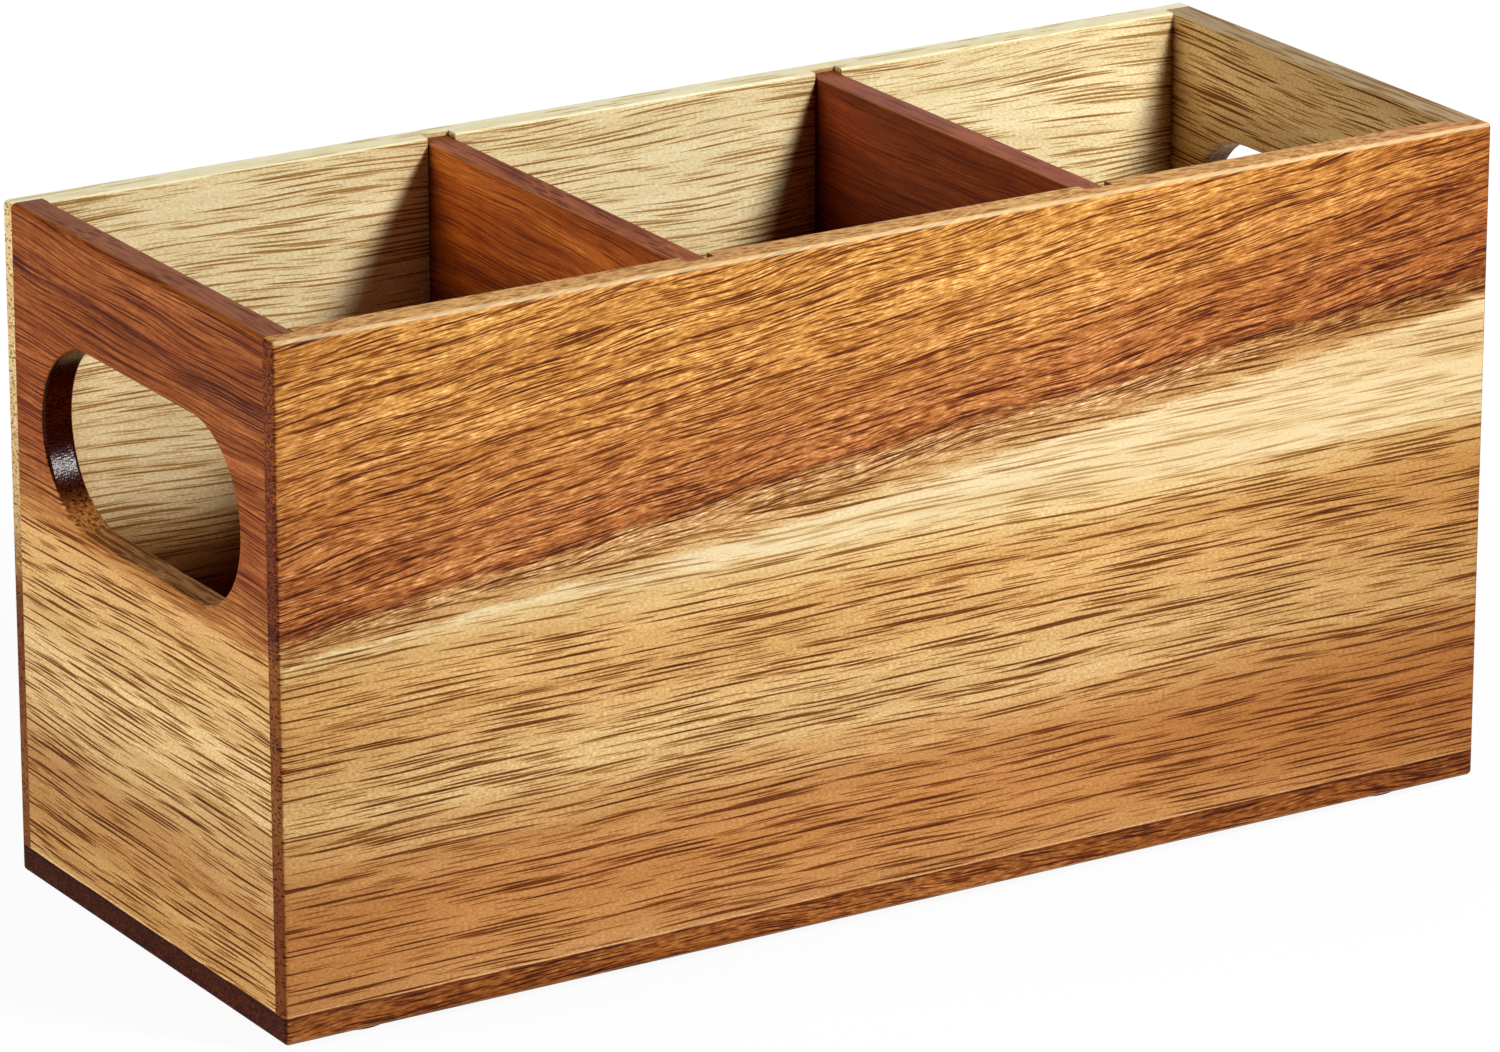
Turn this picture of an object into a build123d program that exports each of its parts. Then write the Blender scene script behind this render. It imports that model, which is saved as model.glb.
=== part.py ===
"""Utensil holder: a rabbeted and grooved wooden box with two lift-out dividers, on four rubber pads.

Millimetres. X runs along the length, Y from front to back and Z up, with the origin in the middle of the
footprint at the underside of the pads.
"""
import os

from build123d import *

# Outside of the wooden box, without the pads
box_length = 305.0
box_width = 120.0
box_height = 153.0

# Board thicknesses
wall_thickness = 7.5
end_thickness = 7.5
divider_thickness = 6.5
base_thickness = 6.2

# Joinery: the end panels sit in rabbets and the dividers in grooves, both cut into the long panels
rabbet_depth = 3.2
groove_depth = 3.2
groove_pitch = 100.0  # from the left end to the first groove, and from there to the second
divider_clearance = 0.25  # on every side of a divider that slides in a groove
divider_drop = 1.0  # the divider tops lie this far below the rim

# Hand slot in each end panel
slot_side_margin = 16.0  # wood left beside the slot, measured to the outside of the box
slot_rim_margin = 25.0  # wood left above the slot
slot_height = 41.0

# Eased edges
outer_edge_radius = 1.2
inner_edge_radius = 0.5
slot_edge_radius = 1.0

# Rubber pads
pad_diameter = 18.0
pad_thickness = 2.0
pad_bevel = 0.5
pad_end_inset = 22.0  # pad centre to the end of the box
pad_side_inset = 13.0  # pad centre to the long side of the box

# Cuts run this far past the faces that they open
overrun = 1.0

# Heights and places that follow from the sizes above
base_bottom = pad_thickness
base_top = base_bottom + base_thickness
rim = base_bottom + box_height
wall_height = rim - base_top
left_face = -box_length / 2
front_face = -box_width / 2
rabbet_lip = wall_thickness - rabbet_depth
groove_wall = wall_thickness - groove_depth
groove_width = divider_thickness + 2 * divider_clearance
groove_centres = [left_face + count * groove_pitch + groove_width / 2 for count in (1, 2)]
slot_length = box_width - 2 * slot_side_margin
slot_centre_height = rim - slot_rim_margin - slot_height / 2

os.makedirs("parts", exist_ok=True)


def save(part, name):
    """Label a finished piece and write it as a STEP file."""
    part.label = name
    export_step(part, f"parts/{name}.step")


def long_panel():
    """Front panel, outside towards -Y: eased board, rabbets at both ends and open-topped grooves inside."""
    inner_face = front_face + wall_thickness
    with BuildPart() as panel:
        with BuildSketch(Plane.XY.offset(base_top)):
            with Locations((0, front_face + wall_thickness / 2)):
                Rectangle(box_length, wall_thickness)
        extrude(amount=wall_height)

        # Ease the outside edges: the upright corners, the long top edge and the short top edges
        outside = panel.faces().sort_by(Axis.Y)[0]
        top = panel.faces().sort_by(Axis.Z)[-1]
        upright_edges = outside.edges().filter_by(Axis.Z)
        top_edges = top.edges().sort_by(Axis.Y)[:-1]
        fillet(upright_edges + top_edges, outer_edge_radius)

        # Rabbets for the end panels and grooves for the dividers, seen from above
        with BuildSketch(Plane.XY.offset(base_top - overrun)):
            rabbet_centre = box_length / 2 - end_thickness / 2 + overrun / 2
            with Locations((-rabbet_centre, inner_face), (rabbet_centre, inner_face)):
                Rectangle(end_thickness + overrun, 2 * rabbet_depth)
            with Locations(*[(centre, inner_face) for centre in groove_centres]):
                Rectangle(groove_width, 2 * groove_depth)
        extrude(amount=wall_height + 2 * overrun, mode=Mode.SUBTRACT)

        # Ease the stretches of the inner top edge that the grooves leave
        inner_edges = panel.edges().filter_by(Axis.X).group_by(Axis.Z)[-1].group_by(Axis.Y)[-1]
        fillet(inner_edges, inner_edge_radius)
    return panel.part


def end_panel():
    """Left end panel, outside towards -X: eased at the rim, with a round-ended hand slot."""
    panel_width = box_width - 2 * rabbet_lip
    with BuildPart() as panel:
        with BuildSketch(Plane.YZ.offset(left_face)):
            with Locations((0, base_top + wall_height / 2)):
                Rectangle(panel_width, wall_height)
            with Locations((0, slot_centre_height)):
                SlotOverall(slot_length, slot_height, mode=Mode.SUBTRACT)
        extrude(amount=end_thickness)

        # Ease the slot on both sides, then the outside and inside of the rim
        slot_mouths = panel.faces().filter_by(Axis.X)
        slot_edges = ShapeList(edge for mouth in slot_mouths for edge in mouth.inner_wires()[0].edges())
        fillet(slot_edges, slot_edge_radius)
        fillet(panel.edges().filter_by(Axis.Y).group_by(Axis.Z)[-1].sort_by(Axis.X)[0], outer_edge_radius)
        fillet(panel.edges().filter_by(Axis.Y).group_by(Axis.Z)[-1].sort_by(Axis.X)[-1], inner_edge_radius)
    return panel.part


def divider(centre):
    """Partition standing on the base with its two ends in the grooves, eased along its top."""
    divider_width = box_width - 2 * groove_wall - 2 * divider_clearance
    with BuildPart() as board:
        with BuildSketch(Plane.XY.offset(base_top)):
            with Locations((centre, 0)):
                Rectangle(divider_thickness, divider_width)
        extrude(amount=wall_height - divider_drop)
        fillet(board.faces().sort_by(Axis.Z)[-1].edges().filter_by(Axis.Y), inner_edge_radius)
    return board.part


def foot(x, y):
    """Round rubber pad under the base, bevelled along its lower edge."""
    with BuildPart() as pad:
        with BuildSketch():
            with Locations((x, y)):
                Circle(pad_diameter / 2)
        extrude(amount=pad_thickness)
        chamfer(pad.faces().sort_by(Axis.Z)[0].edges(), pad_bevel)
    return pad.part


# Long panels: the back one is the front one mirrored
front_panel = long_panel()
save(front_panel, "front_panel")
with BuildPart() as back_panel:
    mirror(front_panel, about=Plane.XZ)
save(back_panel.part, "back_panel")

# End panels: the right one is the left one mirrored
left_end_panel = end_panel()
save(left_end_panel, "left_end_panel")
with BuildPart() as right_end_panel:
    mirror(left_end_panel, about=Plane.YZ)
save(right_end_panel.part, "right_end_panel")

# Base board under all four walls, eased along its lower edge and at its corners
with BuildPart() as base_board:
    with BuildSketch(Plane.XY.offset(base_bottom)):
        Rectangle(box_length, box_width)
    extrude(amount=base_thickness)
    corner_edges = base_board.edges().filter_by(Axis.Z)
    lower_edges = base_board.faces().sort_by(Axis.Z)[0].edges()
    fillet(corner_edges + lower_edges, outer_edge_radius)
save(base_board.part, "base_board")

# Dividers, left to right
for name, centre in zip(("left_divider", "right_divider"), groove_centres):
    save(divider(centre), name)

# Pads, one near each corner
pad_x = box_length / 2 - pad_end_inset
pad_y = box_width / 2 - pad_side_inset
for side, y in (("front", -pad_y), ("back", pad_y)):
    for end, x in (("left", -pad_x), ("right", pad_x)):
        save(foot(x, y), f"{side}_{end}_foot")
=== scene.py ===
"""Utensil holder in acacia: finishes, rubber pads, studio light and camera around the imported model.

Metres, in the model's own frame: X along the length, Y from the front panel to the back panel and Z up
from the table. Sizes and heights in the finishes are in millimetres.
"""

import logging
import math
from dataclasses import dataclass
from enum import Enum
from typing import Any

import bpy
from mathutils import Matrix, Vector


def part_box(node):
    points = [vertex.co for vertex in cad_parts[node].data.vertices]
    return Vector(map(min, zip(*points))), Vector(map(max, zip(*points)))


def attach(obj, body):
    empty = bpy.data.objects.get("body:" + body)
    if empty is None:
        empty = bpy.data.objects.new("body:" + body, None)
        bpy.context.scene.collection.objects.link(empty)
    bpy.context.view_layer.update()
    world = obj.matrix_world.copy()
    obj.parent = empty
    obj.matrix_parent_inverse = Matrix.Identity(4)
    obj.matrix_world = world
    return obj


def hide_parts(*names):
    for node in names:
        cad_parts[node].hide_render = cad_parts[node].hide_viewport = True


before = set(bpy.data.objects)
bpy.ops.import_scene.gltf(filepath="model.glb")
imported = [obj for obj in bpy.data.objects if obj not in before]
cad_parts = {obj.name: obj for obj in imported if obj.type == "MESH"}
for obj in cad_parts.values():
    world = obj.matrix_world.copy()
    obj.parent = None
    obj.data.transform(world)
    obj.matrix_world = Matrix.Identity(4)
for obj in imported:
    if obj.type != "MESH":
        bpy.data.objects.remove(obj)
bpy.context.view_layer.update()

MM = 0.001

# Sockets of a colour Mix node, which has several inputs of the same name
MIX_FACTOR, MIX_A, MIX_B, MIX_RESULT = 0, 6, 7, 2

# A pattern is about a third at its strongest, so this brings it to one
PEAK = 3.0

# What one doubling of the grain's strength does to red, green and blue: dark grain keeps its red
DOUBLING = (0.72, 1.1, 1.7)

# Distances past the growth line at which the heartwood's grain is complete, and its streaks
GRAIN_REACH, STREAK_REACH = 3.0, 14.0

# Share of the heartwood's streaks that the sapwood has
QUIET = 0.5

# Depth of short pores against long ones in heartwood and in sapwood, and of speckles against flecks
SHORT_DASH, SHORT_PORE, SPECKLE = 0.7, 0.55, 0.5

# Share of a pore's reach at which its taper starts, and share of the wood that pores take up
PORE_TAPER, PORE_COVER = 0.7, 0.08

# Distances that round off the starts of heartwood and sapwood, and over which the sapwood gives way
HEART_ROUND, SAP_ROUND, SAP_GIVE = 1.0, 2.0, 1.5

# Distances from the palest place of a board at which the darkening towards its ends starts and is complete
DARKEN_START, DARKEN_FULL = 80.0, 200.0

# Depths below the top edge at which its sanding and painted light start and are complete
RIM_START, RIM_FULL = 0.7, 0.1

# Distances from the glue line up to which it marks the wood fully, and at all
GLUE_FULL, GLUE_END = 0.3, 0.7

# Parts of the normal at which a face starts to count, and fully counts, as cut end, as flat and as arris
END_START, END_FULL = 0.4, 0.75
FLAT_START, FLAT_FULL = 0.3, 0.7
ARRIS_START, ARRIS_FULL = 0.2, 0.45
# Pale colour of the eased edges: rubbed wood and a painted highlight
EDGE_WEAR_AND_HIGHLIGHT = "#F4DCAC"

# Openness right in the corner of two boards, where the painted shade is full
CORNER = 0.5

# Grain's strength in the pores and on the wood, and the oil film's roughness there
PORE_DEPTH, WOOD_DEPTH = -1.5, 1.0
PORE_GLOSS, WOOD_GLOSS = 0.6, 0.4

# Relief of the fibres on a planed face and on a cut end, its weight, and the shine of the oil film
FACE_RELIEF, END_RELIEF = 0.06, 0.2
RELIEF_WEIGHT, SHINE = 0.35, 0.15

log = logging.getLogger("utensil_holder")


def linear(code: str) -> tuple[float, float, float, float]:
    """Turn an sRGB hex colour such as "#C8A060" into linear RGBA.

    Args:
        code: Colour as # and six hex digits.

    Returns:
        Red, green, blue and alpha for a Blender socket.
    """
    channels = [int(code[start:start + 2], 16) / 255 for start in (1, 3, 5)]
    red, green, blue = (c / 12.92 if c <= 0.04045 else ((c + 0.055) / 1.055) ** 2.4 for c in channels)
    return red, green, blue, 1.0


def grey(value: float) -> str:
    """Turn a linear grey from 0 to 1 into an sRGB hex colour."""
    level = 12.92 * value if value <= 0.0031308 else 1.055 * value ** (1 / 2.4) - 0.055
    return "#" + 3 * f"{round(255 * level):02X}"


def add_node(
    tree: bpy.types.NodeTree,
    kind: str,
    inputs: dict[str | int, Any] | None = None,
    stops: list[tuple[float, str]] | None = None,
    **settings: Any,
) -> bpy.types.Node:
    """Add a node with its settings, values and links.

    Args:
        tree: Tree that gets the node.
        kind: Blender's name for the type of node.
        inputs: Value or output socket for each input, by name or number.
        stops: Place from 0 to 1 and hex colour of each stop, for a colour ramp.
        **settings: Properties of the node.

    Returns:
        The new node.
    """
    node = tree.nodes.new(kind)
    for name, value in settings.items():
        setattr(node, name, value)
    for key, value in (inputs or {}).items():
        if isinstance(value, bpy.types.NodeSocket):
            tree.links.new(value, node.inputs[key])
        else:
            node.inputs[key].default_value = value
    for index, (place, colour) in enumerate(stops or []):
        elements = node.color_ramp.elements
        element = elements[index] if index < len(elements) else elements.new(place)
        element.position = place
        element.color = linear(colour)
    return node


def calculate(tree: bpy.types.NodeTree, operation: str, *values: Any) -> bpy.types.NodeSocket:
    """Add a Math node.

    Args:
        tree: Tree that gets the node.
        operation: Blender's name for the operation.
        *values: Value or output socket for each of its numbers.

    Returns:
        The result.
    """
    return add_node(tree, "ShaderNodeMath", dict(enumerate(values)), operation=operation).outputs[0]


def remap(
    tree: bpy.types.NodeTree,
    value: bpy.types.NodeSocket,
    source: tuple[Any, Any] = (0.0, 1.0),
    target: tuple[Any, Any] = (0.0, 1.0),
    smooth: bool = False,
    clamp: bool = True,
) -> bpy.types.NodeSocket:
    """Add a Map Range node.

    Args:
        tree: Tree that gets the node.
        value: Number to bring from one range to the other.
        source: Value or output socket for each end of its range.
        target: What the number becomes there.
        smooth: Whether it eases in and out.
        clamp: Whether it stops at the ends.

    Returns:
        The result.
    """
    ends = dict(zip(("From Min", "From Max", "To Min", "To Max"), source + target))
    return add_node(tree, "ShaderNodeMapRange", {"Value": value, **ends}, clamp=clamp,
                    interpolation_type="SMOOTHSTEP" if smooth else "LINEAR").outputs[0]


class Grain(Enum):
    """Way that a board's fibres run, as the turn about Z that brings them to X."""

    LENGTH = 0.0
    WIDTH = -math.pi / 2


@dataclass(frozen=True)
class Acacia:
    """Planed acacia under a satin oil film.

    The eye gets ribbons of red-brown heartwood beside cream and honey sapwood, open pores as fine dark
    dashes along the fibres, short curly flecks in the heartwood and dark, thirsty cut ends.

    Attributes:
        name: Name of the material.
        seed: Shift of the pattern, so that no two boards match.
        grain: Way that the fibres run.
        bands: Growth bands, as millimetres from the cream, colour and contrast. Heartwood has distances
            above zero.
        line_height: Height of the growth line above the table at the middle of the board.
        line_slope: Rise of that line along the grain.
        fibre_slope: Rise of the heartwood's fibres along the grain.
        sap_height: Height of the straight-grained sapwood's top; cream fills the wedge from there to the
            line.
        blend: Height in the bands of the zone from cream to heartwood, which lies along the line.
        blend_ends: Height of that zone at the ends of the board.
        blend_swell: Height that it gains towards its thickest place.
        blend_middle: Thickest place of the zone along the grain.
        blend_reach: Distance from there to where the zone has its least height.
        end_spread: Share of their usual pace that the heartwood's bands have at the ends, where they are
            wider.
        heart_start: Distance at which the heartwood's flecks take over from the sapwood's pores.
        flecks: Contrast of the heartwood's flecks.
        dashes: Depth of the heartwood's pores.
        pores: Depth of the sapwood's pores.
        streaks: Contrast of the long streaks of colour.
        ripple: Contrast of the ripples across the heartwood.
        stretch: Length of the heartwood's grain against the usual.
        curl: Height of the curls in the heartwood's grain, times three.
        sway: Height by which the sapwood's fibres sway, times three.
        speckles: Contrast of the sapwood's speckles.
        ragged: Height of the growth line's ragged edge, times three.
        fade: Darkening towards the ends of the board.
        fade_middle: Palest place along the grain.
        wave: Height of the slow waves in the grain.
        shift: Distance by which the strongest streaks shift the bands, times three.
        end_tint: What cut ends do to the colour.
        end_gloss: Roughness of cut ends.
        rim_painted_light: Painted light on the top edge, or painted shade below zero.
        rim_grain: Share of the grain's contrast that sanding leaves on the top edge.
        rim_sheen_tint: Painted sheen on the top edge: a tint for the white surroundings it mirrors.
        arris: Share of pale colour on the eased edges beside the faces: rubbed wood and a painted
            highlight.
        seam: Lightening of the wood along the glue line over the base, or darkening below zero.
        corner_painted_shade: Painted shade in the inside corners, drawn by ambient occlusion.
        corner_painted_shade_reach: Distance from a corner to where that ends.
    """

    name: str
    seed: float
    grain: Grain
    bands: tuple[tuple[float, str, float], ...]
    line_height: float
    line_slope: float = 0.0
    fibre_slope: float = 0.0
    sap_height: float = 0.0
    blend: float = 8.0
    blend_ends: float = 8.0
    blend_swell: float = 0.0
    blend_middle: float = 0.0
    blend_reach: float = 150.0
    end_spread: float = 1.0
    heart_start: float = 2.0
    flecks: float = 5.2
    dashes: float = 5.4
    pores: float = 5.2
    streaks: float = 4.0
    ripple: float = 1.4
    stretch: float = 1.0
    curl: float = 3.0
    sway: float = 1.4
    speckles: float = 2.2
    ragged: float = 5.0
    fade: float = 0.0
    fade_middle: float = -45.0
    wave: float = 1.6
    shift: float = 14.0
    end_tint: str = "#93786C"
    end_gloss: float = 0.5
    rim_painted_light: float = 0.0
    rim_grain: float = 0.4
    rim_sheen_tint: str = "#FFFFFF"
    arris: float = 0.15
    seam: float = 0.5
    corner_painted_shade: float = 1.8
    corner_painted_shade_reach: float = 12.0

    def material(self, top: float, joint: float) -> bpy.types.Material:
        """Build the board's material.

        Args:
            top: Height of the board's top edge.
            joint: Height of the glue line between the walls and the base.

        Returns:
            A material with procedural colour, roughness and bump.
        """
        material = bpy.data.materials.new(self.name)
        material.use_nodes = True
        tree = material.node_tree
        shader = tree.nodes["Principled BSDF"]
        place = add_node(tree, "ShaderNodeTexCoord")
        along = add_node(tree, "ShaderNodeMapping", {
            "Vector": place.outputs["Object"],
            "Location": (0.0, self.seed, 0.0),
            "Rotation": (0.0, 0.0, self.grain.value),
            "Scale": (1 / MM, 1 / MM, 1 / MM),
        })
        axes = add_node(tree, "ShaderNodeSeparateXYZ", {0: along.outputs[0]}).outputs
        facing = add_node(tree, "ShaderNodeVectorMath", {0: place.outputs["Normal"]}, operation="ABSOLUTE")
        sides = add_node(tree, "ShaderNodeSeparateXYZ", {0: facing.outputs[0]}).outputs
        end_axis, face_axis = ("X", "Y") if self.grain is Grain.LENGTH else ("Y", "X")

        # Slow waves bend all grain; the growth line is ragged too
        drift = self._patterns(tree, along.outputs[0], {
            "slow": (90.0, 60.0, 40.0, 0.0), "sway": (35.0, 20.0, 14.0, 0.0),
            "curl": (30.0, 10.0, 10.0, 0.0), "ragged": (9.0, 4.0, 1.6, 2.0), "fibre": (4.0, 0.6, 0.4, 1.0),
        })
        waved = calculate(tree, "MULTIPLY_ADD", drift["slow"], PEAK * self.wave, axes["Z"])
        ragged = calculate(tree, "MULTIPLY_ADD", drift["ragged"], self.ragged, waved)
        distance = self._distance(tree, axes["X"], ragged)
        grain, streak = self._grain(tree, axes, waved, drift, distance)
        growth, toned = self._growth(tree, distance, grain, streak)

        # Sanding, painted light and painted sheen reach the top edge, and the saw leaves ends across the
        # fibres
        rim = remap(tree, axes["Z"], (top - RIM_START, top - RIM_FULL), smooth=True)
        cut_end = remap(tree, sides[end_axis], (END_START, END_FULL), smooth=True)
        bevel = calculate(tree, "MULTIPLY", sides[face_axis], sides["Z"])
        depth = self._wear_and_painted_light(tree, toned, rim, sides["Z"], axes["Z"], joint)
        colour = self._colour(tree, growth, depth, rim, cut_end, bevel)

        # Oil film: satin over the wood, duller and lower in the pores
        satin = remap(tree, depth, (PORE_DEPTH, WOOD_DEPTH), (PORE_GLOSS, WOOD_GLOSS))
        gloss = add_node(tree, "ShaderNodeMix", {"Factor": cut_end, "A": satin, "B": self.end_gloss})
        bump = add_node(tree, "ShaderNodeBump", {
            "Height": drift["fibre"], "Strength": RELIEF_WEIGHT,
            "Distance": remap(tree, cut_end, target=(FACE_RELIEF * MM, END_RELIEF * MM)),
        })
        tree.links.new(colour, shader.inputs["Base Color"])
        tree.links.new(gloss.outputs[0], shader.inputs["Roughness"])
        tree.links.new(bump.outputs[0], shader.inputs["Normal"])
        shader.inputs["Specular IOR Level"].default_value = SHINE
        return material

    def _grain(
        self, tree: bpy.types.NodeTree, axes: bpy.types.NodeOutputs, waved: bpy.types.NodeSocket,
        drift: dict[str, bpy.types.NodeSocket], distance: bpy.types.NodeSocket,
    ) -> tuple[bpy.types.NodeSocket, bpy.types.NodeSocket]:
        """Add the grain of the sapwood and of the heartwood.

        Args:
            tree: Tree that gets the nodes.
            axes: Place in millimetres, as X along the fibres, Y and Z.
            waved: Height with the slow waves.
            drift: Patterns that bend the fibres.
            distance: Millimetres from the cream.

        Returns:
            Light and dark of the grain in doublings of the colour's strength, and the long streaks.
        """
        heart, heart_streak = self._heartwood(tree, axes, waved, drift["curl"])
        sap, sap_streak = self._sapwood(tree, axes, waved, drift["sway"])

        # Heartwood's grain takes over at the growth line, and its streaks a little deeper
        start, full = self.heart_start - GRAIN_REACH, self.heart_start + GRAIN_REACH
        share = remap(tree, distance, (start, full), smooth=True)
        deep_share = remap(tree, distance, (full, self.heart_start + STREAK_REACH))
        grain = add_node(tree, "ShaderNodeMix", {"Factor": share, "A": sap, "B": heart}).outputs[0]
        streak = add_node(tree, "ShaderNodeMix", {
            "Factor": deep_share, "A": sap_streak, "B": heart_streak,
        }).outputs[0]
        streaked = calculate(tree, "MULTIPLY_ADD", streak, self.streaks, grain)

        # Darker towards the ends of the board
        from_pale = calculate(tree, "SUBTRACT", axes["X"], self.fade_middle)
        off_pale = calculate(tree, "ABSOLUTE", from_pale)
        end_darkened = remap(tree, off_pale, (DARKEN_START, DARKEN_FULL), (0.0, -self.fade))
        return calculate(tree, "ADD", streaked, end_darkened), streak

    def _growth(
        self, tree: bpy.types.NodeTree, distance: bpy.types.NodeSocket, grain: bpy.types.NodeSocket,
        streak: bpy.types.NodeSocket,
    ) -> tuple[bpy.types.NodeSocket, bpy.types.NodeSocket]:
        """Add the growth bands with their colour and contrast, shifted by the streaks.

        Args:
            tree: Tree that gets the nodes.
            distance: Millimetres from the cream.
            grain: Light and dark of the grain.
            streak: Long streaks.

        Returns:
            Colour of the bands, and the grain with their contrast.
        """
        shifted = calculate(tree, "MULTIPLY_ADD", streak, self.shift, distance)
        first, last = self.bands[0][0], self.bands[-1][0]
        band = remap(tree, shifted, (first, last))
        places = [(mm - first) / (last - first) for mm, _, _ in self.bands]
        colours = [colour for _, colour, _ in self.bands]

        # A ramp holds no more than one, so it has half the contrast, and the grain's depths allow for that
        greys = [grey(contrast / 2) for _, _, contrast in self.bands]
        growth = add_node(tree, "ShaderNodeValToRGB", {0: band}, list(zip(places, colours)))
        contrast = add_node(tree, "ShaderNodeValToRGB", {0: band}, list(zip(places, greys)))
        return growth.outputs[0], calculate(tree, "MULTIPLY", grain, contrast.outputs[0])

    def _wear_and_painted_light(
        self, tree: bpy.types.NodeTree, grain: bpy.types.NodeSocket, rim: bpy.types.NodeSocket,
        flat: bpy.types.NodeSocket, height: bpy.types.NodeSocket, joint: float,
    ) -> bpy.types.NodeSocket:
        """Add what work and use do to the grain, and the painted light and painted shade.

        Sanding and handling calm it along the top edge, where painted light lightens it, glue marks the
        wood at the base, and painted shade darkens the inside corners by ambient occlusion.

        Args:
            tree: Tree that gets the nodes.
            grain: Light and dark of the grain.
            rim: Share of the top edge.
            flat: Upright part of the face's normal.
            height: Height above the table.
            joint: Height of the glue line between the walls and the base.

        Returns:
            Light and dark in doublings of the colour's strength.
        """
        calmed = remap(tree, rim, target=(1.0, self.rim_grain))
        calm = calculate(tree, "MULTIPLY", grain, calmed)
        from_joint = calculate(tree, "SUBTRACT", height, joint)
        near_joint = calculate(tree, "ABSOLUTE", from_joint)
        glued = remap(tree, near_joint, (GLUE_FULL, GLUE_END), (self.seam, 0.0), smooth=True)
        upright = remap(tree, flat, (FLAT_START, FLAT_FULL), (1.0, 0.0))
        marked = calculate(tree, "MULTIPLY", glued, upright)
        # Painted light on the top edge, added to the glue's marks
        rim_light_and_glue = calculate(tree, "MULTIPLY_ADD", rim, self.rim_painted_light, marked)
        # Painted shade: ambient occlusion darkens the inside corners
        corner_painted_shade = add_node(tree, "ShaderNodeAmbientOcclusion", {"Distance": self.corner_painted_shade_reach * MM}, samples=1)
        corner_shade = remap(tree, corner_painted_shade.outputs["AO"], (CORNER, 1.0), (-self.corner_painted_shade, 0.0))
        rim_light_glue_and_corner_shade = calculate(tree, "ADD", rim_light_and_glue, corner_shade)
        return calculate(tree, "ADD", calm, rim_light_glue_and_corner_shade)

    def _colour(
        self, tree: bpy.types.NodeTree, growth: bpy.types.NodeSocket, depth: bpy.types.NodeSocket,
        rim: bpy.types.NodeSocket, cut_end: bpy.types.NodeSocket, bevel: bpy.types.NodeSocket,
    ) -> bpy.types.NodeSocket:
        """Add the colour: the bands with their grain, painted sheen at the top edge, the cut ends' tint and
        the arrises.

        Args:
            tree: Tree that gets the nodes.
            growth: Colour of the growth bands.
            depth: Light and dark in doublings of that colour's strength.
            rim: Share of the top edge.
            cut_end: Share of a cut end, which drinks the oil and darkens.
            bevel: Slant of the eased edges beside the faces.

        Returns:
            The wood's colour.
        """
        doublings = add_node(tree, "ShaderNodeVectorMath", {0: DOUBLING, "Scale": depth}, operation="SCALE")
        strength = add_node(tree, "ShaderNodeVectorMath", {0: (2.0, 2.0, 2.0), 1: doublings.outputs[0]},
                            operation="POWER")
        wood = add_node(tree, "ShaderNodeVectorMath", {0: growth, 1: strength.outputs[0]},
                        operation="MULTIPLY")
        # Painted sheen: the top edge takes a tint for the white surroundings it mirrors
        sheen_tinted = add_node(tree, "ShaderNodeMix", {
            MIX_FACTOR: rim, MIX_A: wood.outputs[0], MIX_B: linear(self.rim_sheen_tint),
        }, data_type="RGBA", blend_type="MULTIPLY")
        ended = add_node(tree, "ShaderNodeMix", {
            MIX_FACTOR: cut_end, MIX_A: sheen_tinted.outputs[MIX_RESULT], MIX_B: linear(self.end_tint),
        }, data_type="RGBA", blend_type="MULTIPLY")
        # Eased edges turn pale: rubbed wood and a painted highlight
        edge_wear_and_highlight = remap(tree, bevel, (ARRIS_START, ARRIS_FULL), (0.0, self.arris), smooth=True)
        rubbed = add_node(tree, "ShaderNodeMix", {
            MIX_FACTOR: edge_wear_and_highlight, MIX_A: ended.outputs[MIX_RESULT], MIX_B: linear(EDGE_WEAR_AND_HIGHLIGHT),
        }, data_type="RGBA")
        return rubbed.outputs[MIX_RESULT]

    def _heartwood(
        self, tree: bpy.types.NodeTree, axes: bpy.types.NodeOutputs, waved: bpy.types.NodeSocket,
        curl: bpy.types.NodeSocket,
    ) -> tuple[bpy.types.NodeSocket, bpy.types.NodeSocket]:
        """Add the heartwood's rising, curly grain.

        Args:
            tree: Tree that gets the nodes.
            axes: Place in millimetres, as X along the fibres, Y and Z.
            waved: Height with the slow waves.
            curl: Pattern that curls the fibres.

        Returns:
            Light and dark of the grain in doublings of the colour's strength, and the long streaks.
        """
        risen = calculate(tree, "MULTIPLY_ADD", axes["X"], -self.fibre_slope, waved)
        curled = calculate(tree, "MULTIPLY_ADD", curl, self.curl, risen)
        place = add_node(tree, "ShaderNodeCombineXYZ", {
            "X": axes["X"], "Y": axes["Y"], "Z": curled,
        }).outputs[0]
        patterns = self._patterns(tree, place, {
            "fleck": (2.8 * self.stretch, 0.8, 0.4, 0.0), "speckle": (1.1, 0.6, 0.36, 0.0),
            "streak": (60.0, 8.0, 3.2, 2.0), "ripple": (5.0, 20.0, 16.0, 1.0),
        })
        dashes = self._pores(tree, place, {
            "long": (20.0 * self.stretch, 1.3, 0.58, 0.4, self.dashes),
            "short": (6.0 * self.stretch, 0.8, 0.4, 0.42, SHORT_DASH * self.dashes),
        })
        dash = calculate(tree, "ADD", dashes["long"], dashes["short"])
        fleck = calculate(tree, "MULTIPLY_ADD", patterns["fleck"], self.flecks, dash)
        speckled = calculate(tree, "MULTIPLY_ADD", patterns["speckle"], SPECKLE * self.flecks, fleck)
        rippled = calculate(tree, "MULTIPLY_ADD", patterns["ripple"], self.ripple, speckled)
        return rippled, patterns["streak"]

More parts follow.
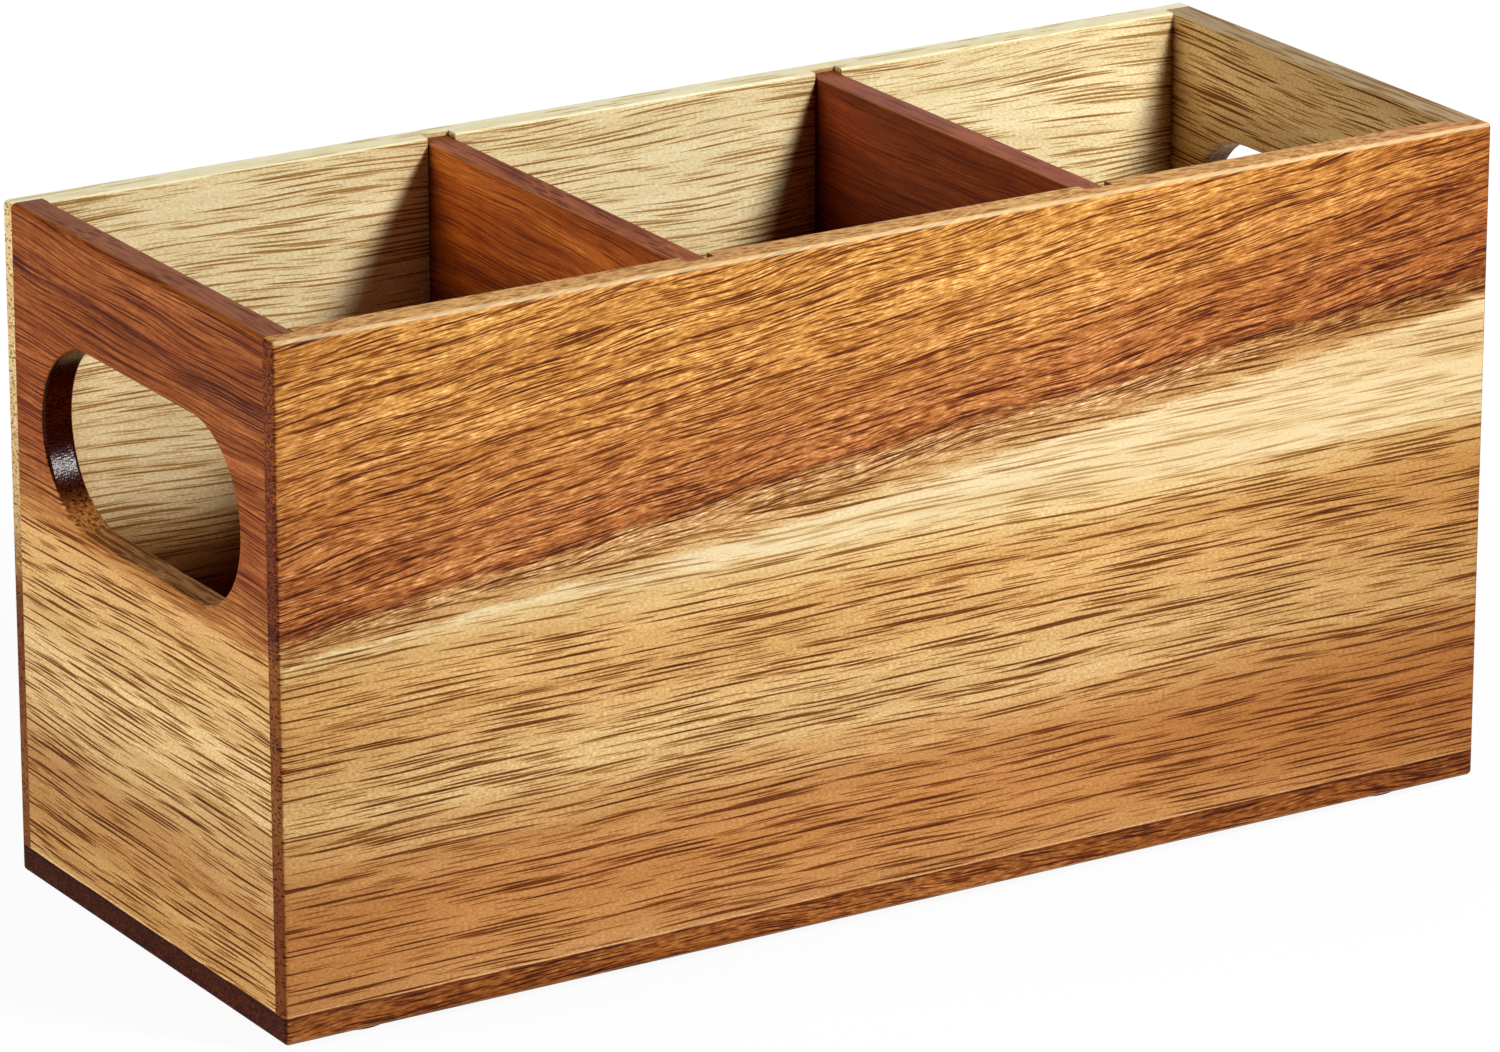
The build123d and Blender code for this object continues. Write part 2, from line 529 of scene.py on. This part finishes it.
    def _sapwood(
        self, tree: bpy.types.NodeTree, axes: bpy.types.NodeOutputs, waved: bpy.types.NodeSocket,
        sway: bpy.types.NodeSocket,
    ) -> tuple[bpy.types.NodeSocket, bpy.types.NodeSocket]:
        """Add the sapwood's level grain: long open pores on a quiet ground.

        Args:
            tree: Tree that gets the nodes.
            axes: Place in millimetres, as X along the fibres, Y and Z.
            waved: Height with the slow waves.
            sway: Pattern that sways the fibres.

        Returns:
            Light and dark of the grain in doublings of the colour's strength, and the long streaks.
        """
        swayed = calculate(tree, "MULTIPLY_ADD", sway, self.sway, waved)
        place = add_node(tree, "ShaderNodeCombineXYZ", {
            "X": axes["X"], "Y": axes["Y"], "Z": swayed,
        }).outputs[0]
        patterns = self._patterns(tree, place, {
            "speckle": (0.9, 0.5, 0.4, 0.0), "streak": (110.0, 9.0, 3.6, 2.0),
        })
        pores = self._pores(tree, place, {
            "long": (38.0, 1.6, 0.74, 0.39, self.pores),
            "short": (15.0, 1.0, 0.5, 0.37, SHORT_PORE * self.pores),
        })
        pored = calculate(tree, "ADD", pores["long"], pores["short"])
        speckled = calculate(tree, "MULTIPLY_ADD", patterns["speckle"], self.speckles, pored)
        return speckled, calculate(tree, "MULTIPLY", patterns["streak"], QUIET)

    def _distance(
        self, tree: bpy.types.NodeTree, x: bpy.types.NodeSocket, height: bpy.types.NodeSocket
    ) -> bpy.types.NodeSocket:
        """Add the distance from the cream, which fills the wedge between level sapwood and sloping line.

        Args:
            tree: Tree that gets the nodes.
            x: Place along the grain.
            height: Height above the table.

        Returns:
            Millimetres from the cream, below zero in the sapwood under it.
        """
        line = calculate(tree, "MULTIPLY_ADD", x, self.line_slope, self.line_height)
        over = calculate(tree, "SUBTRACT", height, line)
        aside = remap(tree, x, (self.blend_middle, self.blend_middle + self.blend_reach), clamp=False)
        spread = calculate(tree, "MULTIPLY", aside, aside)

        # Half of the zone from cream to heartwood lies under the line, and heartwood starts above the zone
        zone = remap(tree, spread, target=(self.blend_ends + self.blend_swell, self.blend_ends))
        risen = calculate(tree, "MULTIPLY_ADD", zone, 0.5, over)
        past = calculate(tree, "SUBTRACT", risen, zone)
        deep = calculate(tree, "SMOOTH_MAX", past, 0.0, HEART_ROUND)
        pace = remap(tree, spread, target=(1.0, self.end_spread))
        heart = calculate(tree, "MULTIPLY", deep, pace)
        within = remap(tree, risen, (0.0, zone), (0.0, self.blend))
        above = calculate(tree, "ADD", heart, within)

        # The sapwood's bands go down from its top, and give way where the heartwood comes lower
        under = calculate(tree, "SUBTRACT", height, self.sap_height)
        below = calculate(tree, "SMOOTH_MIN", under, 0.0, SAP_ROUND)
        ceded = remap(tree, above, (0.0, SAP_GIVE), (1.0, 0.0))
        kept = calculate(tree, "MULTIPLY", below, ceded)
        return calculate(tree, "ADD", above, kept)

    @staticmethod
    def _patterns(
        tree: bpy.types.NodeTree, place: bpy.types.NodeSocket,
        sizes: dict[str, tuple[float, float, float, float]],
    ) -> dict[str, bpy.types.NodeSocket]:
        """Add random patterns of the wood, each about zero and about a third at its strongest.

        Args:
            tree: Tree that gets the nodes.
            place: Place in millimetres.
            sizes: For each pattern its size along the fibres, through the board and across the fibres in
                millimetres, and its number of finer layers.

        Returns:
            The patterns by name.
        """
        patterns = {}
        for name, (length, depth, width, detail) in sizes.items():
            cells = add_node(tree, "ShaderNodeVectorMath", {0: place, 1: (length, depth, width)},
                             operation="DIVIDE")
            noise = add_node(tree, "ShaderNodeTexNoise", {
                "Vector": cells.outputs[0], "Scale": 1.0, "Detail": detail,
            })
            patterns[name] = calculate(tree, "SUBTRACT", noise.outputs["Fac"], 0.5)
        return patterns

    @staticmethod
    def _pores(
        tree: bpy.types.NodeTree, place: bpy.types.NodeSocket,
        sizes: dict[str, tuple[float, float, float, float, float]],
    ) -> dict[str, bpy.types.NodeSocket]:
        """Add open pores, which the plane cuts as dashes of many lengths with tapering ends.

        Args:
            tree: Tree that gets the nodes.
            place: Place in millimetres.
            sizes: For each kind of pore its pitch along the fibres, through the board and across the fibres
                in millimetres, its reach as a share of that pitch and its depth in doublings.

        Returns:
            Light and dark of each kind of pore in doublings, about zero on the whole.
        """
        pores = {}
        for name, (length, depth, width, reach, dark) in sizes.items():
            cells = add_node(tree, "ShaderNodeVectorMath", {0: place, 1: (length, depth, width)},
                             operation="DIVIDE")
            hollow = add_node(tree, "ShaderNodeTexVoronoi", {"Vector": cells.outputs[0], "Scale": 1.0})
            pores[name] = remap(tree, hollow.outputs["Distance"], (PORE_TAPER * reach, reach),
                                ((PORE_COVER - 1) * dark, PORE_COVER * dark), smooth=True)
        return pores


@dataclass(frozen=True)
class Rubber:
    """Moulded black rubber: matt, a little grey with handling, with a fine mould grain.

    Attributes:
        name: Name of the material.
        colour: Rubber as moulded.
        rubbed: Rubber where dust and handling have greyed it.
        grit: Grain of the mould in millimetres.
        relief: Depth of that grain in millimetres.
        relief_weight: Weight of that depth.
        dust: Size of the patches of dust in millimetres.
        greying: Levels of dust at which the rubber starts to grey and is grey.
        roughness: Roughness of the surface.
        refraction: Index of refraction.
    """

    name: str = "black_rubber"
    colour: str = "#17130F"
    rubbed: str = "#2A2520"
    grit: float = 0.35
    relief: float = 0.05
    relief_weight: float = 0.3
    dust: float = 5.556
    greying: tuple[float, float] = (0.4, 0.75)
    roughness: float = 0.75
    refraction: float = 1.52

    def material(self) -> bpy.types.Material:
        """Build the rubber's material.

        Returns:
            A material with procedural colour and bump.
        """
        material = bpy.data.materials.new(self.name)
        material.use_nodes = True
        tree = material.node_tree
        shader = tree.nodes["Principled BSDF"]
        place = add_node(tree, "ShaderNodeTexCoord")
        grain = add_node(tree, "ShaderNodeTexNoise", {
            "Vector": place.outputs["Object"], "Scale": 1 / (self.grit * MM), "Detail": 2.0,
        })
        dust = add_node(tree, "ShaderNodeTexNoise", {
            "Vector": place.outputs["Object"], "Scale": 1 / (self.dust * MM),
        })
        tone = add_node(tree, "ShaderNodeValToRGB", {0: dust.outputs["Fac"]},
                        list(zip(self.greying, (self.colour, self.rubbed))))
        bump = add_node(tree, "ShaderNodeBump", {
            "Height": grain.outputs["Fac"], "Strength": self.relief_weight, "Distance": self.relief * MM,
        })
        tree.links.new(tone.outputs[0], shader.inputs["Base Color"])
        tree.links.new(bump.outputs[0], shader.inputs["Normal"])
        shader.inputs["Roughness"].default_value = self.roughness
        shader.inputs["IOR"].default_value = self.refraction
        return material


@dataclass(frozen=True)
class Board:
    """Board of the box, whose CAD shape is kept and gets a wood finish.

    Attributes:
        node: Name of the CAD node.
        finish: Wood of the board.
    """

    node: str
    finish: Acacia

    def dress(self) -> bpy.types.Object:
        """Give the CAD node its wood.

        Returns:
            The node's object.
        """
        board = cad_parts[self.node]
        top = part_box(self.node)[1].z / MM
        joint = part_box("base_board")[1].z / MM
        wood = self.finish.material(top, joint)
        for slot in board.material_slots:
            slot.material = wood
        return board


@dataclass
class Carcass:
    """Four walls and the base, glued into one box.

    Attributes:
        front: Wood of the front panel, heartwood over sapwood.
        back: Wood of the back panel, sapwood over heartwood.
        left: Wood of the left end, heartwood over sapwood.
        right: Wood of the right end, all sapwood.
        base: Wood of the base, all heartwood.
    """

    front: Acacia = Acacia(
        "oiled_acacia_front", 0.0, Grain.LENGTH,
        bands=(
            (-84, "#BA824A", 1.0), (-74, "#B4773C", 1.0), (-62, "#B17238", 1.0), (-54, "#B67D42", 1.0),
            (-46, "#C08E52", 1.05), (-40, "#CBA064", 1.05), (-34, "#CFA467", 1.1), (-26, "#C79556", 1.15),
            (-12, "#C89554", 1.1), (-5, "#CFA566", 0.9), (-1.5, "#DCBC84", 0.5), (0, "#E8D2A4", 0.25),
            (0.7, "#D6B47E", 0.7), (1.7, "#C4965A", 1.1), (4.2, "#BA8850", 1.4), (6.4, "#B6824A", 1.4),
            (7.4, "#A0622E", 1.3), (8.2, "#804218", 1.2), (9.4, "#A45C28", 1.2), (11, "#B67036", 1.2),
            (13, "#A05A26", 1.2), (15, "#B06A33", 1.1), (21, "#B16C2F", 1.0), (27, "#BC7937", 1.0),
            (36, "#C2813A", 1.0), (50, "#C4843A", 1.0), (62, "#B67430", 1.0),
        ),
        line_height=102.4, line_slope=0.096, fibre_slope=0.125, sap_height=90.0, blend_ends=6.5,
        blend_swell=5.5, end_spread=0.5, heart_start=4.0, stretch=1.2, wave=0.6, fade=1.5,
        # Painted light on the top edge and a painted highlight on its eased edges
        fade_middle=-30.0, shift=8.0, end_tint="#B08455", rim_painted_light=0.7, arris=0.55,
    )
    back: Acacia = Acacia(
        "oiled_acacia_back", 310.0, Grain.LENGTH,
        bands=(
            (-160, "#8A5024", 1.0), (-130, "#99602F", 1.0), (-108, "#84491F", 1.0), (-96, "#7A431C", 1.0),
            (-88, "#94602F", 1.0), (-84, "#C0925A", 1.0), (-78, "#DDBB84", 0.9), (-66, "#E8CA92", 0.8),
            (-50, "#F2D59C", 0.8), (-20, "#FBE3AA", 0.8), (0, "#F9DFA4", 0.8),
        ),
        line_height=170.0, sap_height=158.0, heart_start=30.0, wave=4.0, pores=3.8, end_tint="#E8DCD0",
        rim_painted_light=0.5, seam=0.0,
    )
    left: Acacia = Acacia(
        "oiled_acacia_left_end", 620.0, Grain.WIDTH,
        bands=(
            (-90, "#C88E4C", 1.0), (-76, "#C99250", 1.0), (-62, "#B87E42", 1.0), (-50, "#CA9A5C", 1.0),
            (-34, "#DCB070", 1.0), (-18, "#D8A662", 1.0), (-6, "#D29A56", 1.0), (0, "#CA8E4A", 1.0),
            (5, "#AE682E", 1.0), (10, "#924616", 1.0), (24, "#9C501C", 1.0), (38, "#944A18", 1.0),
            (46, "#944C18", 1.0), (49, "#6A2C0E", 1.0), (51, "#924816", 1.0), (64, "#904816", 1.0),
        ),
        line_height=92.0, line_slope=0.04, sap_height=91.0, blend_ends=16.0, flecks=3.2, dashes=4.4,
        stretch=3.6, pores=5.8, streaks=5.0, end_tint="#563624", end_gloss=0.2, rim_painted_light=0.25, arris=0.0,
    )
    right: Acacia = Acacia(
        "oiled_acacia_right_end", 930.0, Grain.WIDTH,
        bands=(
            (-90, "#C08C50", 1.0), (-60, "#C89858", 1.0), (-30, "#D0A464", 1.0), (0, "#D8AC6A", 1.0),
            (40, "#D8AC6A", 1.0), (64, "#D0A462", 1.0),
        ),
        # Painted sheen greys the top edge, and a painted highlight pales its eased edges
        line_height=91.0, sap_height=91.0, heart_start=80.0, rim_painted_light=0.1, rim_sheen_tint="#DCE4FD", arris=0.3,
    )
    base: Acacia = Acacia(
        "oiled_acacia_base", 1240.0, Grain.LENGTH,
        bands=((-10, "#7C4014", 1.0), (0, "#884812", 1.0), (5, "#92521E", 1.0), (10, "#7C4014", 1.0)),
        line_height=4.0, sap_height=4.0, heart_start=-20.0, fade=1.3, end_tint="#8A6248", rim_grain=1.0,
        seam=-1.2,
    )

    def build(self) -> list[bpy.types.Object]:
        """Dress the five boards.

        Returns:
            The boards' objects.
        """
        woods = {"front_panel": self.front, "back_panel": self.back, "left_end_panel": self.left,
                 "right_end_panel": self.right, "base_board": self.base}
        return [Board(node, wood).dress() for node, wood in woods.items()]


@dataclass
class Partitions:
    """Two lift-out dividers of dark heartwood.

    Attributes:
        left: Wood of the left divider.
        right: Wood of the right divider, the darker of the two.
    """

    left: Acacia = Acacia(
        "oiled_acacia_left_divider", 1550.0, Grain.WIDTH,
        bands=(
            (-150, "#74300A", 0.8), (-100, "#84380A", 0.8), (-60, "#96420C", 0.8), (-40, "#A44C10", 0.8),
            (-20, "#A04A0E", 0.8), (0, "#A44E12", 0.8),
        ),
        line_height=160.0, sap_height=155.0, heart_start=-200.0, flecks=3.2, dashes=3.4, streaks=9.0,
        stretch=3.0, rim_painted_light=-0.05, rim_grain=0.9,
    )
    right: Acacia = Acacia(
        "oiled_acacia_right_divider", 1860.0, Grain.WIDTH,
        bands=((-150, "#602002", 0.7), (-60, "#702602", 0.7), (-20, "#782A02", 0.7), (0, "#7C2C02", 0.7)),
        line_height=160.0, sap_height=155.0, heart_start=-200.0, flecks=3.2, dashes=3.0, streaks=6.0,
        # Painted light on the top edge
        stretch=3.0, rim_painted_light=1.15, rim_grain=0.9,
    )

    def build(self) -> list[bpy.types.Object]:
        """Dress the dividers.

        Returns:
            The dividers' objects.
        """
        woods = {"left_divider": self.left, "right_divider": self.right}
        return [Board(node, wood).dress() for node, wood in woods.items()]


@dataclass
class Pads:
    """Four moulded rubber pads under the base, set out by Geometry Nodes.

    Attributes:
        finish: Rubber of the pads.
        nodes: CAD nodes that the pads stand for.
        sides: Facets round a pad before it is smoothed.
        rings: Rings of facets on each flat side.
        wall_rings: Rings of facets up the round side.
        smoothing: Times that the facets are divided to round the edges.
    """

    finish: Rubber = Rubber()
    nodes: tuple[str, ...] = ("front_left_foot", "front_right_foot", "back_left_foot", "back_right_foot")
    sides: int = 24
    rings: int = 5
    wall_rings: int = 3
    smoothing: int = 2

    def tree(self) -> bpy.types.NodeTree:
        """Build the tree that puts a rounded pad at each corner of a grid.

        Returns:
            A geometry node tree with the pads' sizes as inputs.
        """
        tree = bpy.data.node_groups.new("rubber_pads", "GeometryNodeTree")
        for name in ("Spacing X", "Spacing Y", "Radius", "Thickness"):
            tree.interface.new_socket(name, in_out="INPUT", socket_type="NodeSocketFloat")
        tree.interface.new_socket("Rubber", in_out="INPUT", socket_type="NodeSocketMaterial")
        tree.interface.new_socket("Geometry", in_out="OUTPUT", socket_type="NodeSocketGeometry")
        sizes = add_node(tree, "NodeGroupInput").outputs
        corners = add_node(tree, "GeometryNodeMeshGrid", {
            "Size X": sizes["Spacing X"], "Size Y": sizes["Spacing Y"], "Vertices X": 2, "Vertices Y": 2,
        })
        disc = add_node(tree, "GeometryNodeMeshCylinder", {
            "Vertices": self.sides, "Side Segments": self.wall_rings, "Fill Segments": self.rings,
            "Radius": sizes["Radius"], "Depth": sizes["Thickness"],
        }, fill_type="TRIANGLE_FAN")
        pad = add_node(tree, "GeometryNodeSubdivisionSurface", {
            "Mesh": disc.outputs["Mesh"], "Level": self.smoothing,
        })
        lift = add_node(tree, "ShaderNodeCombineXYZ", {
            "Z": calculate(tree, "MULTIPLY", sizes["Thickness"], 0.5),
        })
        raised = add_node(tree, "GeometryNodeTransform", {
            "Geometry": pad.outputs["Mesh"], "Translation": lift.outputs[0],
        })
        placed = add_node(tree, "GeometryNodeInstanceOnPoints", {
            "Points": corners.outputs["Mesh"], "Instance": raised.outputs[0],
        })
        real = add_node(tree, "GeometryNodeRealizeInstances", {"Geometry": placed.outputs[0]})
        smooth = add_node(tree, "GeometryNodeSetShadeSmooth", {"Geometry": real.outputs[0]})
        dressed = add_node(tree, "GeometryNodeSetMaterial", {
            "Geometry": smooth.outputs[0], "Material": sizes["Rubber"],
        })
        add_node(tree, "NodeGroupOutput", {"Geometry": dressed.outputs[0]})
        return tree

    def build(self) -> bpy.types.Object:
        """Make the pads as one plain mesh that stands for the four CAD pads.

        Returns:
            The pads' object.
        """
        low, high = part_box(self.nodes[0])
        middle = (low + high) / 2
        values = {
            "Spacing X": -2 * middle.x, "Spacing Y": -2 * middle.y, "Radius": (high.x - low.x) / 2,
            "Thickness": high.z - low.z, "Rubber": self.finish.material(),
        }
        tree = self.tree()
        source = bpy.data.objects.new("pad_source", bpy.data.meshes.new("pad_source"))
        bpy.context.scene.collection.objects.link(source)
        maker = source.modifiers.new("pads", "NODES")
        maker.node_group = tree
        for socket in tree.interface.items_tree:
            if socket.in_out == "INPUT":
                maker[socket.identifier] = values[socket.name]
        graph = bpy.context.evaluated_depsgraph_get()
        mesh = bpy.data.meshes.new_from_object(source.evaluated_get(graph))
        mesh.materials.clear()
        mesh.materials.append(values["Rubber"])
        bpy.data.objects.remove(source)
        pads = bpy.data.objects.new("rubber_pads", mesh)
        bpy.context.scene.collection.objects.link(pads)
        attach(pads, "carcass")
        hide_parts(*self.nodes)
        return pads


class Reach(Enum):
    """What a lamp does to the box: light it and shine in it, only shine in it, or only light it."""

    ALL = "all"
    SHINE = "shine"
    LIGHT = "light"


@dataclass(frozen=True)
class SoftBox:
    """Square studio lamp.

    Attributes:
        name: Name of the lamp.
        place: Where it stands.
        aim: What it points at.
        size: Side of its diffuser in metres.
        power: Watts.
        reach: What it does to the box.
    """

    name: str
    place: tuple[float, float, float]
    aim: tuple[float, float, float]
    size: float
    power: float
    reach: Reach = Reach.ALL

    def build(self) -> bpy.types.Object:
        """Hang the lamp.

        Returns:
            The lamp's object.
        """
        light = bpy.data.lights.new(self.name, "AREA")
        light.size = self.size
        light.energy = self.power
        lamp = bpy.data.objects.new(self.name, light)
        lamp.location = self.place
        lamp.visible_camera = False
        lamp.visible_diffuse = self.reach is not Reach.SHINE
        lamp.visible_glossy = self.reach is not Reach.LIGHT
        lamp.rotation_euler = (Vector(self.aim) - Vector(self.place)).to_track_quat("-Z", "Y").to_euler()
        bpy.context.scene.collection.objects.link(lamp)
        return lamp


@dataclass
class Studio:
    """White table, soft light and the camera of the photograph.

    Attributes:
        lamps: Soft boxes round the table.
        ambient: Light from all round on what isn't mirrored.
        table_size: Side of the table top.
        table_white: Share of plain white in the table round the box; the rest takes the shadow.
        table_glow: Strength of that plain white.
        table_matt: Colour of the rest.
        shadow_reach: Distances from the middle of the table between which the shadow's share fades out.
        azimuth: Camera's turn from the front towards the left, in degrees.
        elevation: Camera's height angle, in degrees.
        distance: Camera's distance from the middle of the box.
        middle: Middle of the wooden box.
        aim: Point in the middle of the picture.
        lens: Focal length on a 36 mm wide sensor, in millimetres.
    """

    lamps: tuple[SoftBox, ...] = (
        SoftBox("key", (0.28, -0.64, 0.61), (0.0, 0.0, 0.08), 0.14, 7.0),
        SoftBox("left_fill", (-0.95, 0.16, 0.38), (-0.15, 0.0, 0.08), 0.2, 5.1),
        SoftBox("front_fill", (-0.45, -1.1, 0.06), (0.0, -0.06, 0.06), 0.3, 1.5),
        SoftBox("back_fill", (0.9, 0.95, 0.2), (0.05, 0.03, 0.07), 0.4, 8.0, Reach.LIGHT),
        SoftBox("backdrop", (0.65, 1.05, 0.5), (0.0, 0.0, 0.15), 1.1, 3.0, Reach.SHINE),
    )
    ambient: float = 0.005
    table_size: float = 8.0
    table_white: float = 0.92
    table_glow: float = 1.02
    table_matt: str = "#E6E6E6"
    shadow_reach: tuple[float, float] = (0.2, 0.45)
    azimuth: float = -31.865
    elevation: float = 18.616
    distance: float = 1.7724
    middle: tuple[float, float, float] = (0.0, 0.0, 0.0785)
    aim: tuple[float, float, float] = (-0.0028, -0.0008, 0.0721)
    lens: float = 193.92

    def build(self) -> None:
        """Set up the whole studio."""
        bpy.context.scene.view_settings.view_transform = "Standard"
        self.surroundings()
        self.table()
        self.camera()
        for lamp in self.lamps:
            lamp.build()

    def seen(self, tree: bpy.types.NodeTree) -> bpy.types.NodeSocket:
        """Add nodes that tell the camera's and refracted rays from the rest.

        Args:
            tree: Tree of the world or of the table's material.

        Returns:
            1 for such a ray and 0 for any other.
        """
        path = add_node(tree, "ShaderNodeLightPath").outputs
        return calculate(tree, "MAXIMUM", path["Is Camera Ray"], path["Is Transmission Ray"])

    def surroundings(self) -> None:
        """Make the world white to the eye and a weak even light to the box."""
        world = bpy.data.worlds.new("studio")
        world.use_nodes = True
        tree = world.node_tree
        tree.nodes.clear()
        strength = remap(tree, self.seen(tree), target=(self.ambient, 1.0))
        white = add_node(tree, "ShaderNodeBackground", {"Color": linear("#FFFFFF"), "Strength": strength})
        add_node(tree, "ShaderNodeOutputWorld", {"Surface": white.outputs[0]})
        bpy.context.scene.world = world

    def table(self) -> bpy.types.Object:
        """Lay the white table top, which keeps a soft shadow round the box.

        Returns:
            The table's object.
        """
        material = bpy.data.materials.new("white_table")
        material.use_nodes = True
        tree = material.node_tree
        tree.nodes.clear()
        place = add_node(tree, "ShaderNodeTexCoord")
        away = add_node(tree, "ShaderNodeVectorMath", {0: place.outputs["Object"]}, operation="LENGTH")
        whiteness = remap(tree, away.outputs["Value"], self.shadow_reach, (self.table_white, 1.0))
        share = calculate(tree, "MULTIPLY", self.seen(tree), whiteness)
        matt = add_node(tree, "ShaderNodeBsdfDiffuse", {"Color": linear(self.table_matt)})
        white = add_node(tree, "ShaderNodeEmission", {
            "Color": linear("#FFFFFF"), "Strength": self.table_glow,
        })
        top = add_node(tree, "ShaderNodeMixShader", {
            0: share, 1: matt.outputs[0], 2: white.outputs[0],
        })
        add_node(tree, "ShaderNodeOutputMaterial", {"Surface": top.outputs[0]})
        half = self.table_size / 2
        mesh = bpy.data.meshes.new("table")
        mesh.from_pydata([(-half, -half, 0), (half, -half, 0), (half, half, 0), (-half, half, 0)], [],
                         [(0, 1, 2, 3)])
        mesh.materials.append(material)
        table = bpy.data.objects.new("table", mesh)
        bpy.context.scene.collection.objects.link(table)

        # The painted shade in the inside corners doesn't take the table for a wall
        table.visible_shadow = False
        return table

    def camera(self) -> bpy.types.Object:
        """Put the camera where the photograph was taken from.

        Returns:
            The camera's object.
        """
        turn, rise = math.radians(self.azimuth), math.radians(self.elevation)
        away = Vector((math.sin(turn) * math.cos(rise), -math.cos(turn) * math.cos(rise), math.sin(rise)))
        data = bpy.data.cameras.new("camera")
        data.lens = self.lens
        camera = bpy.data.objects.new("camera", data)
        camera.location = Vector(self.middle) + self.distance * away
        camera.rotation_euler = (Vector(self.aim) - camera.location).to_track_quat("-Z", "Y").to_euler()
        bpy.context.scene.collection.objects.link(camera)
        bpy.context.scene.camera = camera
        return camera


def main() -> None:
    """Build the studio and the holder, and report each piece."""
    logging.basicConfig(level=logging.INFO, format="%(name)s: %(message)s")
    Studio().build()
    pieces = [*Carcass().build(), *Partitions().build(), Pads().build()]
    for piece in pieces:
        log.info("%s: %d faces, %s", piece.name, len(piece.data.polygons), piece.data.materials[0].name)


if __name__ == "__main__":
    main()
